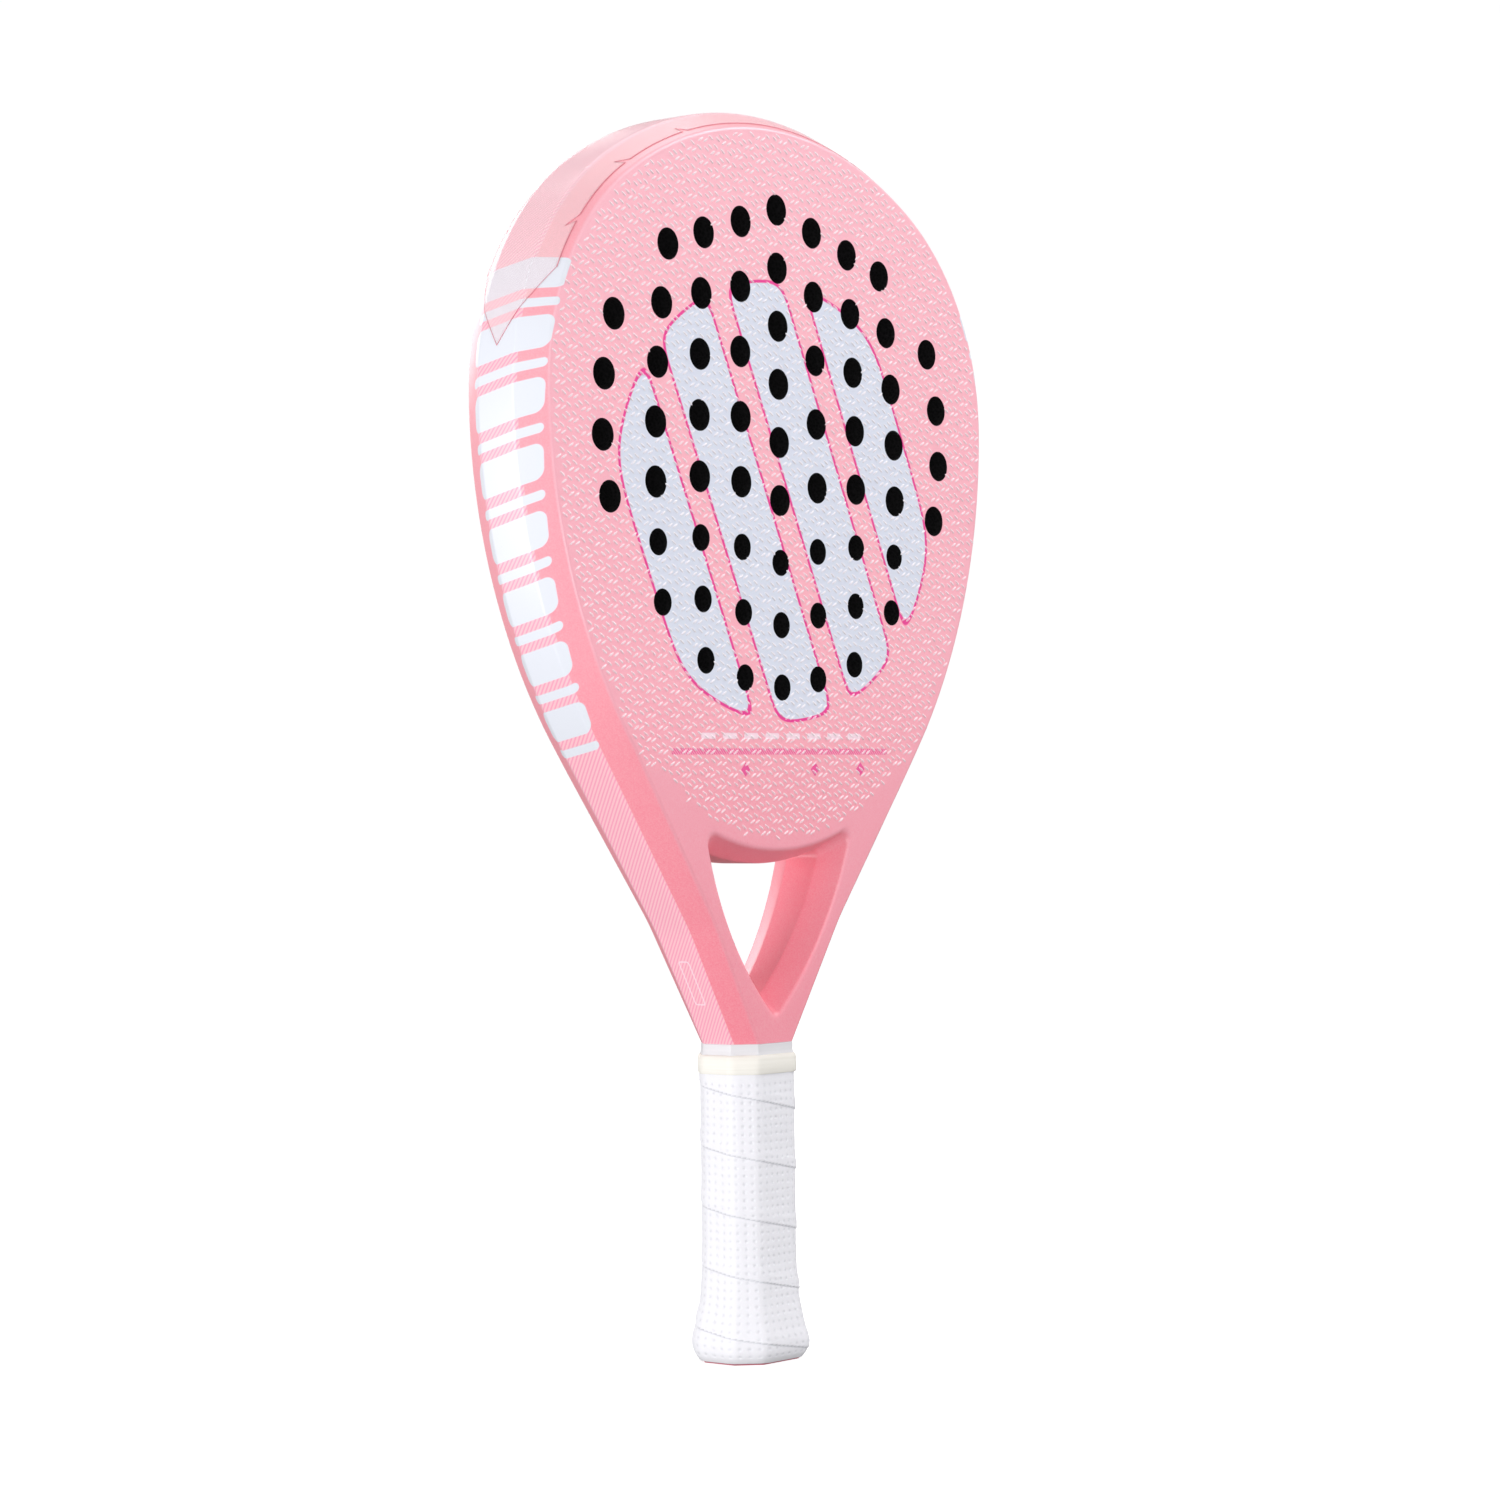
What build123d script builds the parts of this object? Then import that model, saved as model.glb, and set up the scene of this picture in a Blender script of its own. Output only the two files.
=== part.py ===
from build123d import *
import math
import os

# Padel racket, in millimetres. +Z runs from the butt to the crown, X is the width and Y the
# thickness. The origin is the centre of the butt, and the front face looks along -Y.

os.makedirs("parts", exist_ok=True)

# Overall sizes
LENGTH = 455.0
THICKNESS = 38.0
HALF = THICKNESS / 2

# Outline of the frame: tangent arcs from the crown down one side, as (radius, sweep in degrees)
CROWN = (157.0, 31.84)
SHOULDER = (100.0, 58.26)
FLANK = (209.0, 36.14)
ARM_RUN = 77.7
WAIST = (80.0, 5.58)

# Section of the frame: a flat side band between two bevels
BAND_HALF = 8.1
BEVEL = 6.4
FRAME_WIDTH = 20.0
TUBE_WALL = 2.3
TUBE_FACE_WALL = 4.0
TUBE_INNER_WALL = 7.5
LEG_INNER = 5.0
BLADDER_WALL = 0.4
FACE_SKIN = 1.0

# The arms get thinner from the head to the collar
TAPER_TOP = 222.0
COLLAR_Z = 116.0
COLLAR_HALF = 13.8
COLLAR_BAND_HALF = 6.55
ARM_LOW = 110.0
TIP_GAP = 0.1

# Throat opening: two side arcs and the bridge arc, in the plane of the face
THROAT_SIDE_R = 135.0
THROAT_SIDE_X = 89.0
THROAT_SIDE_Z = 226.4
BRIDGE_R = 105.0
BRIDGE_Z = 291.1
THROAT_FILLET = 3.5
THROAT_BEVEL = 4.8
THROAT_BEVEL_DEPTH = 9.6

# Core, bridge and the seam of the face skins
CORE_LOW = 206.0
CORE_LOW_R = 300.0
SEAM_R = 101.6
SEAM_SIDE_Z = 212.0
BRIDGE_FOAM_HALF_WIDTH = 32.0
BRIDGE_FOAM_HALF_DEPTH = 11.0
BRIDGE_FOAM_GAP = 2.0
BRIDGE_WALL = 3.0
INSERT_TOP = 142.0

# Holes of the face, in columns that bow outwards:
# x where the column is widest, height of that place, bow radius, lowest hole, pitch, count
HOLE_COLUMNS = [
    (0.0, 320.0, 1e9, 245.3, 22.7, 3),
    (0.0, 320.0, 1e9, 313.4, 21.2, 6),
    (21.9, 320.0, 3000.0, 248.6, 23.5, 8),
    (45.0, 320.0, 1000.0, 254.4, 21.8, 8),
    (68.9, 322.0, 385.0, 274.4, 21.1, 7),
    (96.7, 337.0, 102.0, 310.2, 21.2, 4),
]
SMALL_HOLE_R = 4.8
LARGE_HOLE_R = 5.7
LARGE_HOLES_ABOVE = 300.0

# Handle: octagons named by their width, each as much shallower as the moulded core is
OCTAGON_DROP = 6.3
BODY_REACH = 150.0
COLLAR_OCTAGON = 33.9
COLLAR_CORNER = 7.2
CORNER_GROWTH = 0.293
HANDLE_CORE = 29.5
HANDLE_LOW = 12.0
FILLER_HALF = 2.5
SLEEVE_WALL = 0.6
BASE_GRIP_WALL = 1.6
OVERGRIP_WALL = 0.6
BAND_LOW = 112.0
RING_LOW = 105.0
RING_WIDTH = 36.6
RING_SEAT = 108.0
RING_FILLET = 1.6
CAVITY_JOIN = 3.0

# Butt: height and width of the cap's outside, which the two grips follow
FLARE = [(32.0, 31.7), (22.0, 32.8), (14.0, 35.6), (7.0, 38.6), (1.5, 34.2)]
FLARE_START = 34.0
CAP_LIP_WIDTH = 36.6
CORD_HOLE_R = 2.0
CORD_HOLE_SPACING = 12.0
CAP_FLOOR = 4.0
CAP_CHAMBER = 24.0

# Staples that hold the cap, one on each narrow side
STAPLE_Z = 27.0
STAPLE_WIDTH = 9.0
STAPLE_WIRE = 0.7
STAPLE_OUT = 16.5
STAPLE_IN = 12.9

# Frame protector: a clear film over the crown
FILM = 0.3
FILM_LOW = 394.0
FILM_EDGE = 17.4


def racket_outline(inset, low, high):
    """The frame's outline, moved inwards by inset, between the heights low and high."""
    with BuildLine() as line:
        crown = JernArc((0, LENGTH - inset), (1, 0), CROWN[0] - inset, -CROWN[1])
        shoulder = JernArc(crown @ 1, crown % 1, SHOULDER[0] - inset, -SHOULDER[1])
        flank = JernArc(shoulder @ 1, shoulder % 1, FLANK[0] - inset, -FLANK[1])
        arm = Line(flank @ 1, (flank @ 1) + (flank % 1) * ARM_RUN)
        waist = JernArc(arm @ 1, arm % 1, WAIST[0] + inset, WAIST[1])
        down = waist % 1
        run = min(((waist @ 1).Y - ARM_LOW) / -down.Y, (waist @ 1).X / -down.X - TIP_GAP)
        leg = Line(waist @ 1, (waist @ 1) + down * run)
        mirror(about=Plane.YZ)
        Line(leg @ 1, (-(leg @ 1).X, (leg @ 1).Y))
    make_face(line.edges())
    with Locations((0, (low + high) / 2)):
        Rectangle(2 * LENGTH, high - low, mode=Mode.INTERSECT)


def throat_outline(inset):
    """The throat opening: two side arcs that meet below, and the bridge's arc above."""
    with BuildSketch() as opening:
        with Locations((-THROAT_SIDE_X, THROAT_SIDE_Z)):
            Circle(THROAT_SIDE_R - inset)
        with Locations((THROAT_SIDE_X, THROAT_SIDE_Z)):
            Circle(THROAT_SIDE_R - inset, mode=Mode.INTERSECT)
        with Locations((0, BRIDGE_Z)):
            Circle(BRIDGE_R + inset, mode=Mode.SUBTRACT)
        fillet(opening.vertices(), THROAT_FILLET)
    add(opening.sketch)


def arm_plane(y_top, y_foot):
    """An upright plane that leans with the arms' taper. Its own Y is the height."""
    rise = Vector(0, y_top - y_foot, TAPER_TOP - COLLAR_Z).normalized()
    foot = Vector(0, y_top, TAPER_TOP) - rise * TAPER_TOP
    return Plane(origin=foot, x_dir=(1, 0, 0), z_dir=(0, -rise.Z, rise.Y))


def octagon(width, mode=Mode.ADD):
    """The handle's section, an octagon with its long side along X."""
    x = width / 2
    y = (width - OCTAGON_DROP) / 2
    corner = COLLAR_CORNER + CORNER_GROWTH * (width - COLLAR_OCTAGON)
    right = [(x, y - corner), (x - corner, y), (corner - x, y), (-x, y - corner)]
    left = [(-px, -py) for px, py in right]
    Polygon(*right, *left, align=None, mode=mode)


def racket_body(drop, inset):
    """The racket above the collar, without its throat opening: the faces moved inwards by drop
    and the sides by inset."""
    rim = inset + BEVEL * (HALF - drop - BAND_HALF) / (HALF - BAND_HALF)
    sections = [
        (HALF - drop, COLLAR_HALF - drop, rim),
        (BAND_HALF, COLLAR_BAND_HALF, inset),
        (-BAND_HALF, -COLLAR_BAND_HALF, inset),
        (drop - HALF, drop - COLLAR_HALF, rim),
    ]
    with BuildPart() as head:
        for y_top, y_foot, step in sections:
            with BuildSketch(Plane.XZ.offset(-y_top)):
                racket_outline(step, TAPER_TOP, LENGTH + FILM)
        loft(ruled=True)
    with BuildPart() as body:
        for y_top, y_foot, step in sections:
            with BuildSketch(arm_plane(y_top, y_foot)):
                racket_outline(step, ARM_LOW, TAPER_TOP)
        loft(ruled=True)
        split(bisect_by=Plane.XY.offset(COLLAR_Z), keep=Keep.TOP)
        add(head.part)
    return body.part


def inner_prism(inset, half_strip):
    """Everything inside the frame tube's inner side, and the strip between its two legs."""
    with BuildPart() as prism:
        with BuildSketch(Plane.XZ):
            racket_outline(inset, ARM_LOW, LENGTH)
            with Locations((0, (ARM_LOW + TAPER_TOP) / 2)):
                Rectangle(2 * half_strip, TAPER_TOP - ARM_LOW)
        extrude(amount=HALF + FACE_SKIN, both=True)
    return prism.part


# Shapes that several pieces share
with BuildPart() as throat_cutter:
    outer = THROAT_BEVEL / THROAT_BEVEL_DEPTH
    for side in (1, -1):
        face_sections = [(FACE_SKIN, -outer * FACE_SKIN), (-THROAT_BEVEL_DEPTH, THROAT_BEVEL)]
        for out, inset in face_sections[::side]:
            with BuildSketch(arm_plane(side * (HALF + out), side * (COLLAR_HALF + out))):
                throat_outline(inset)
    loft(ruled=True)

with BuildPart() as outside:
    add(racket_body(0, 0))
    add(throat_cutter.part, mode=Mode.SUBTRACT)

with BuildPart() as inner_slab:
    with BuildSketch(Plane.YZ):
        half = HALF - FACE_SKIN
        foot = COLLAR_HALF - FACE_SKIN
        side = [(half, LENGTH + 1), (half, TAPER_TOP), (foot, COLLAR_Z)]
        Polygon(*side, *[(-y, z) for y, z in side[::-1]], align=None)
    extrude(amount=BODY_REACH, both=True)

with BuildPart() as above_seam:
    with BuildSketch(Plane.XZ):
        with Locations((0, BRIDGE_Z)):
            Circle(SEAM_R)
        with Locations((0, SEAM_SIDE_Z + LENGTH)):
            Rectangle(2 * BODY_REACH, 2 * LENGTH)
    extrude(amount=HALF, both=True)

with BuildPart() as face_holes:
    with BuildSketch(Plane.XZ):
        for widest, middle, bow, lowest, pitch, count in HOLE_COLUMNS:
            for row in range(count):
                z = lowest + row * pitch
                x = widest - (z - middle) ** 2 / (2 * bow) if widest else 0
                with Locations((x, z), (-x, z)) if x else Locations((x, z)):
                    Circle(LARGE_HOLE_R if z > LARGE_HOLES_ABOVE else SMALL_HOLE_R)
    extrude(amount=HALF + FACE_SKIN, both=True)

with BuildPart() as core_room:
    with BuildSketch(Plane.XZ):
        with Locations((0, CORE_LOW + CORE_LOW_R)):
            Circle(CORE_LOW_R)
    extrude(amount=HALF, both=True)

tube_inside = inner_prism(FRAME_WIDTH, FILLER_HALF)


# Faces
with BuildPart() as front_face:
    add(outside.part)
    add(above_seam.part, mode=Mode.INTERSECT)
    add(inner_slab.part, mode=Mode.SUBTRACT)
    split(bisect_by=Plane.XZ, keep=Keep.TOP)
    add(face_holes.part, mode=Mode.SUBTRACT)
front_face.part.label = "front_face"
export_step(front_face.part, "parts/front_face.step")

with BuildPart() as back_face:
    add(mirror(front_face.part, about=Plane.XZ, mode=Mode.PRIVATE))
back_face.part.label = "back_face"
export_step(back_face.part, "parts/back_face.step")

# Foam core, bridge and the insert below the opening
with BuildPart() as moulding:
    add(outside.part)
    add([front_face.part, back_face.part], mode=Mode.SUBTRACT)

with BuildPart() as eva_core:
    add(moulding.part)
    add(tube_inside, mode=Mode.INTERSECT)
    add(core_room.part, mode=Mode.INTERSECT)
    add(inner_slab.part, mode=Mode.INTERSECT)
    add(face_holes.part, mode=Mode.SUBTRACT)
eva_core.part.label = "eva_core"
export_step(eva_core.part, "parts/eva_core.step")

with BuildPart() as bridge_core:
    with BuildSketch(Plane.XZ):
        with Locations((0, BRIDGE_Z)):
            Circle(BRIDGE_R - BRIDGE_FOAM_GAP)
        with Locations((0, CORE_LOW + CORE_LOW_R)):
            Circle(CORE_LOW_R + BRIDGE_WALL, mode=Mode.SUBTRACT)
        with Locations((0, BRIDGE_Z - BRIDGE_R)):
            Rectangle(2 * BRIDGE_FOAM_HALF_WIDTH, BRIDGE_R, mode=Mode.INTERSECT)
    extrude(amount=BRIDGE_FOAM_HALF_DEPTH, both=True)
bridge_core.part.label = "bridge_core"
export_step(bridge_core.part, "parts/bridge_core.step")

with BuildPart() as between_arms:
    add(moulding.part)
    add(tube_inside, mode=Mode.INTERSECT)
    add(core_room.part, mode=Mode.SUBTRACT)

with BuildPart() as throat_bridge:
    add(between_arms.part)
    split(bisect_by=Plane.XY.offset(INSERT_TOP), keep=Keep.TOP)
    add(bridge_core.part, mode=Mode.SUBTRACT)
throat_bridge.part.label = "throat_bridge"
export_step(throat_bridge.part, "parts/throat_bridge.step")

with BuildPart() as throat_insert:
    add(between_arms.part)
    split(bisect_by=Plane.XY.offset(INSERT_TOP), keep=Keep.BOTTOM)
throat_insert.part.label = "throat_insert"
export_step(throat_insert.part, "parts/throat_insert.step")


# Frame tube and the bladder left inside it
def tube_cavity(gap, low):
    """The hollow of the frame tube, smaller by gap, and of its legs down to low."""
    wall = TUBE_WALL + gap
    with BuildPart() as hollow:
        add(racket_body(TUBE_FACE_WALL + gap, wall))
        add(inner_prism(FRAME_WIDTH - TUBE_INNER_WALL - gap, LEG_INNER + gap), mode=Mode.SUBTRACT)
        split(bisect_by=Plane.XY.offset(COLLAR_Z + CAVITY_JOIN), keep=Keep.TOP)
        with BuildSketch(Plane.XY.offset(low)):
            octagon(HANDLE_CORE - 2 * wall)
            Rectangle(2 * (LEG_INNER + gap), HANDLE_CORE, mode=Mode.SUBTRACT)
        extrude(amount=COLLAR_Z + 2 * CAVITY_JOIN - low)
    return hollow.part


with BuildPart() as butt_staples:
    for side in (1, -1):
        with Locations((side * (STAPLE_OUT - STAPLE_WIRE / 2), 0, STAPLE_Z)):
            Box(STAPLE_WIRE, STAPLE_WIDTH, STAPLE_WIRE)
        leg_middle = side * (STAPLE_OUT + STAPLE_IN) / 2
        leg_y = (STAPLE_WIDTH - STAPLE_WIRE) / 2
        with Locations((leg_middle, leg_y, STAPLE_Z), (leg_middle, -leg_y, STAPLE_Z)):
            Box(STAPLE_OUT - STAPLE_IN, STAPLE_WIRE, STAPLE_WIRE)
butt_staples.part.label = "butt_staples"
export_step(butt_staples.part, "parts/butt_staples.step")

with BuildPart() as frame_tube:
    add(moulding.part)
    add(tube_inside, mode=Mode.SUBTRACT)
    with BuildSketch(Plane.XY.offset(HANDLE_LOW)):
        octagon(HANDLE_CORE)
        Rectangle(2 * FILLER_HALF, HANDLE_CORE, mode=Mode.SUBTRACT)
    extrude(amount=COLLAR_Z - HANDLE_LOW)
    add(tube_cavity(0, HANDLE_LOW), mode=Mode.SUBTRACT)
    add(butt_staples.part, mode=Mode.SUBTRACT)
frame_tube.part.label = "frame_tube"
export_step(frame_tube.part, "parts/frame_tube.step")

with BuildPart() as frame_bladder:
    add(tube_cavity(0, HANDLE_LOW))
    add(tube_cavity(BLADDER_WALL, HANDLE_LOW), mode=Mode.SUBTRACT)
    add(butt_staples.part, mode=Mode.SUBTRACT)
frame_bladder.part.label = "frame_bladder"
export_step(frame_bladder.part, "parts/frame_bladder.step")

# Handle
with BuildPart() as handle_filler:
    with BuildSketch(Plane.XY.offset(HANDLE_LOW)):
        octagon(HANDLE_CORE)
        Rectangle(2 * FILLER_HALF, HANDLE_CORE, mode=Mode.INTERSECT)
    extrude(amount=COLLAR_Z - HANDLE_LOW)
handle_filler.part.label = "handle_filler"
export_step(handle_filler.part, "parts/handle_filler.step")

SLEEVE = HANDLE_CORE + 2 * SLEEVE_WALL
with BuildPart() as handle_sleeve:
    with BuildSketch(Plane.XY.offset(HANDLE_LOW)):
        octagon(SLEEVE)
        octagon(HANDLE_CORE, Mode.SUBTRACT)
    extrude(amount=COLLAR_Z - HANDLE_LOW)
    add(butt_staples.part, mode=Mode.SUBTRACT)
handle_sleeve.part.label = "handle_sleeve"
export_step(handle_sleeve.part, "parts/handle_sleeve.step")


def flared_solid(extra, sections):
    """A solid of octagons joined by straight walls, each wider than listed by extra."""
    with BuildPart() as solid:
        for z, width in sections:
            with BuildSketch(Plane.XY.offset(z)):
                octagon(width + extra)
        loft(ruled=True)
    return solid.part


# The cap's wall stands round the handle, and the two grips lie over both
with BuildPart() as butt_cap:
    add(flared_solid(0, FLARE))
    lip = FLARE[-1][0]
    with BuildSketch():
        octagon(CAP_LIP_WIDTH)
    extrude(amount=lip)
    chamfer(butt_cap.faces().sort_by(Axis.Z)[0].edges(), lip / 2)
    with BuildSketch(Plane.XY.offset(HANDLE_LOW)):
        octagon(SLEEVE)
    extrude(amount=FLARE[0][0] - HANDLE_LOW, mode=Mode.SUBTRACT)
    with BuildSketch(Plane.XY.offset(CAP_FLOOR)):
        octagon(CAP_CHAMBER)
    extrude(amount=HANDLE_LOW - CAP_FLOOR, mode=Mode.SUBTRACT)
    with BuildSketch():
        with GridLocations(CORD_HOLE_SPACING, 0, 2, 1):
            Circle(CORD_HOLE_R)
    extrude(amount=CAP_FLOOR, mode=Mode.SUBTRACT)
    add(butt_staples.part, mode=Mode.SUBTRACT)
butt_cap.part.label = "butt_cap"
export_step(butt_cap.part, "parts/butt_cap.step")

GRIP_BASE = 2 * BASE_GRIP_WALL
GRIP_OUTSIDE = GRIP_BASE + 2 * OVERGRIP_WALL
GRIP_SECTIONS = [(RING_SEAT, SLEEVE), (FLARE_START, SLEEVE), *FLARE]

with BuildPart() as base_grip:
    add(flared_solid(GRIP_BASE, GRIP_SECTIONS))
    add(flared_solid(0, GRIP_SECTIONS), mode=Mode.SUBTRACT)
    add(butt_staples.part, mode=Mode.SUBTRACT)
base_grip.part.label = "base_grip"
export_step(base_grip.part, "parts/base_grip.step")

with BuildPart() as overgrip:
    add(flared_solid(GRIP_OUTSIDE, GRIP_SECTIONS))
    add(flared_solid(GRIP_BASE, GRIP_SECTIONS), mode=Mode.SUBTRACT)
    split(bisect_by=Plane.XY.offset(RING_LOW), keep=Keep.BOTTOM)
overgrip.part.label = "overgrip"
export_step(overgrip.part, "parts/overgrip.step")

# Ring over the end of the grips, and the band between it and the frame
with BuildPart() as grip_collar:
    with BuildSketch(Plane.XY.offset(RING_LOW)):
        octagon(RING_WIDTH)
    extrude(amount=BAND_LOW - RING_LOW)
    fillet(grip_collar.faces().sort_by(Axis.Z)[-1].edges(), RING_FILLET)
    with BuildSketch(Plane.XY.offset(RING_LOW)):
        octagon(SLEEVE + GRIP_BASE)
    extrude(amount=RING_SEAT - RING_LOW, mode=Mode.SUBTRACT)
    with BuildSketch(Plane.XY.offset(RING_SEAT)):
        octagon(SLEEVE)
    extrude(amount=BAND_LOW - RING_SEAT, mode=Mode.SUBTRACT)
grip_collar.part.label = "grip_collar"
export_step(grip_collar.part, "parts/grip_collar.step")

with BuildPart() as shaft_band:
    with BuildSketch(Plane.XY.offset(BAND_LOW)):
        octagon(COLLAR_OCTAGON)
        octagon(SLEEVE, Mode.SUBTRACT)
    extrude(amount=COLLAR_Z - BAND_LOW)
shaft_band.part.label = "shaft_band"
export_step(shaft_band.part, "parts/shaft_band.step")

# Clear film round the crown
with BuildPart() as frame_protector:
    add(racket_body(HALF - FILM_EDGE, -FILM))
    split(bisect_by=Plane.XY.offset(FILM_LOW), keep=Keep.TOP)
    add(outside.part, mode=Mode.SUBTRACT)
frame_protector.part.label = "frame_protector"
export_step(frame_protector.part, "parts/frame_protector.step")
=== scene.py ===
"""A padel racket: a painted hollow frame, drilled faces with raised dashes, and a wrapped grip."""

import math

import bmesh
import bpy
import numpy as np
from mathutils import Matrix, Vector, geometry


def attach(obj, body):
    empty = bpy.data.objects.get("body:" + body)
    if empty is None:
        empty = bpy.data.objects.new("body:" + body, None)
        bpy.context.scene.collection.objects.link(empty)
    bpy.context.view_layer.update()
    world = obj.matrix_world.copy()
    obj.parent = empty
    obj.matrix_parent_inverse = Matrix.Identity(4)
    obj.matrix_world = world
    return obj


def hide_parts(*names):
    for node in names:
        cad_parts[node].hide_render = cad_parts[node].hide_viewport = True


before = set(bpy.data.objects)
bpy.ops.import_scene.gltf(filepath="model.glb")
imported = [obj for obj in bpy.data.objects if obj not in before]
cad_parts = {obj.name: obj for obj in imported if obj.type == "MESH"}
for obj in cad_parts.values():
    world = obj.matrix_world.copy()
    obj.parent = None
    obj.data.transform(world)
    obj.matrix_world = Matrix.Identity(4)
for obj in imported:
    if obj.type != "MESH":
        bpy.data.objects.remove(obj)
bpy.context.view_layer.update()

MM = 0.001  # lengths below are millimetres, and every mesh is made in metres

# The rim: half of its widest line, from the crown down, as (radius, turn in degrees, pieces).
LENGTH = 455.0
RIM_ARCS = ((157.0, 31.84, 20), (100.0, 58.26, 32), (209.0, 36.14, 24))
ARM_RUN = 77.7
WAIST = (80.0, 5.58, 4)
COLLAR_TOP = 116.0

# The section: half thickness of the head and the band, and how both thin down to the collar.
HALF, BAND_HALF = 19.0, 8.1
COLLAR_HALF, COLLAR_BAND_HALF = 13.8, 6.55
TAPER_TOP, TAPER_SOFTNESS = 222.0, 12.0
BEVEL = 6.4
CREASE_ROUNDING, RIDGE_ROUNDING = 1.8, 2.6
FLAT_START = 7.7

# The throat opening, between two side circles and the bridge circle.
SIDE_CIRCLE, SIDE_CENTRE = 135.0, (89.0, 226.4)
BRIDGE_CIRCLE, BRIDGE_CENTRE = 105.0, (0.0, 291.1)
THROAT_DEPTH, THROAT_BEVEL = 9.6, 4.8

# The drilled faces.
FACE_ARC = 101.6
FACE_LOW_JOIN = 214.0
FACE_SKIN = 1.0
HOLE_COLUMNS = (  # x of the widest place, its z, bow radius, lowest z, pitch, holes
    (0.0, 320.0, 1e9, 245.3, 22.7, 3),
    (0.0, 320.0, 1e9, 313.4, 21.2, 6),
    (21.9, 320.0, 3000.0, 248.6, 23.5, 8),
    (45.0, 320.0, 1000.0, 254.4, 21.8, 8),
    (68.9, 322.0, 385.0, 274.4, 21.1, 7),
    (96.7, 337.0, 102.0, 310.2, 21.2, 4),
)
SMALL_HOLE, LARGE_HOLE, LARGE_FROM = 4.8, 5.7, 300.0

# The grip.
GRIP_LOW, GRIP_TOP = 0.7, 105.0
GRIP_FLARE = (  # height and width
    (-4.0, 31.0),
    (0.7, 38.2),
    (2.0, 40.8),
    (4.0, 42.6),
    (6.5, 43.3),
    (9.0, 42.9),
    (14.0, 40.2),
    (22.0, 37.2),
    (32.0, 35.7),
    (37.0, 35.1),
)
LAP_PITCH, LAP_PHASE = 21.9, 11.5


# ---------------------------------------------------------------- lines and sections


def arc(centre, start, end, pieces):
    """Points on the short arc round centre from start to end, without start."""
    a = np.subtract(start, centre)
    b = np.subtract(end, centre)
    turn = math.atan2(a[0] * b[1] - a[1] * b[0], a[0] * b[0] + a[1] * b[1])
    points = []
    for k in range(1, pieces + 1):
        c, s = math.cos(turn * k / pieces), math.sin(turn * k / pieces)
        points.append((centre[0] + c * a[0] - s * a[1], centre[1] + s * a[0] + c * a[1]))
    return points


def rounded(corners, radii, pieces=5):
    """An open line through corners, with each inner corner rounded to its radius."""
    points = [corners[0]]
    for before, corner, after, radius in zip(corners, corners[1:], corners[2:], radii):
        a = np.subtract(before, corner) / np.linalg.norm(np.subtract(before, corner))
        b = np.subtract(after, corner) / np.linalg.norm(np.subtract(after, corner))
        half = math.acos(float(np.clip(a @ b, -1, 1))) / 2
        run = radius / math.tan(half)
        middle = (a + b) / np.linalg.norm(a + b)
        centre = np.array(corner) + middle * radius / math.sin(half)
        start, end = np.array(corner) + a * run, np.array(corner) + b * run
        points += [tuple(start)] + arc(centre, start, end, pieces)
    return np.array(points + [corners[-1]])


def half_rim(inset):
    """The right half of the rim's line, inset from the widest one, from the crown to the collar."""
    x, z, heading = 0.0, LENGTH - inset, 0.0
    points = [(x, z)]
    for radius, sweep, pieces in RIM_ARCS:
        centre = (x - (radius - inset) * math.sin(heading), z - (radius - inset) * math.cos(heading))
        heading += math.radians(sweep)
        x = centre[0] + (radius - inset) * math.sin(heading)
        z = centre[1] + (radius - inset) * math.cos(heading)
        points += arc(centre, points[-1], (x, z), pieces)
    for k in range(1, 11):
        run = ARM_RUN * k / 10
        points.append((x + run * math.cos(heading), z - run * math.sin(heading)))
    x, z = points[-1]
    radius, sweep, pieces = WAIST
    radius += inset
    centre = (x + radius * math.sin(heading), z + radius * math.cos(heading))
    heading -= math.radians(sweep)
    x, z = centre[0] - radius * math.sin(heading), centre[1] - radius * math.cos(heading)
    points += arc(centre, points[-1], (x, z), pieces)
    run = (z - COLLAR_TOP) / math.sin(heading)
    for k in range(1, 9):
        points.append((x + run * k / 8 * math.cos(heading), z - run * k / 8 * math.sin(heading)))
    return np.array(points)


def whole(half_line):
    """A half line from the middle outwards, with its mirror image put before it."""
    mirror = half_line[:0:-1] * (-1, 1)
    return np.vstack([mirror, half_line])


def travel(points):
    """How far along the line each point is."""
    steps = np.linalg.norm(np.diff(points, axis=0), axis=1)
    return np.concatenate([[0], np.cumsum(steps)])


def thinning(z):
    """0 on the head, growing to 1 at the collar, with a soft start."""
    fall = TAPER_TOP - np.asarray(z, float)
    soft = np.clip(fall + TAPER_SOFTNESS, 0, 2 * TAPER_SOFTNESS) ** 2 / (4 * TAPER_SOFTNESS)
    return np.where(fall > TAPER_SOFTNESS, fall, soft) / (TAPER_TOP - COLLAR_TOP)


def face_half(z):
    return HALF - (HALF - COLLAR_HALF) * thinning(z)


def band_half(z):
    return BAND_HALF - (BAND_HALF - COLLAR_BAND_HALF) * thinning(z)


def section_y(y, z, middle, middle_here):
    """Where a section point at y on the head lies at height z. The middle part shrinks by its own rule."""
    side, size = np.sign(y), np.abs(y)
    here = middle_here(z)
    outer = here + (size - middle) * (face_half(z) - here) / (HALF - middle)
    return side * np.where(size <= middle, size * here / middle, outer)


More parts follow.
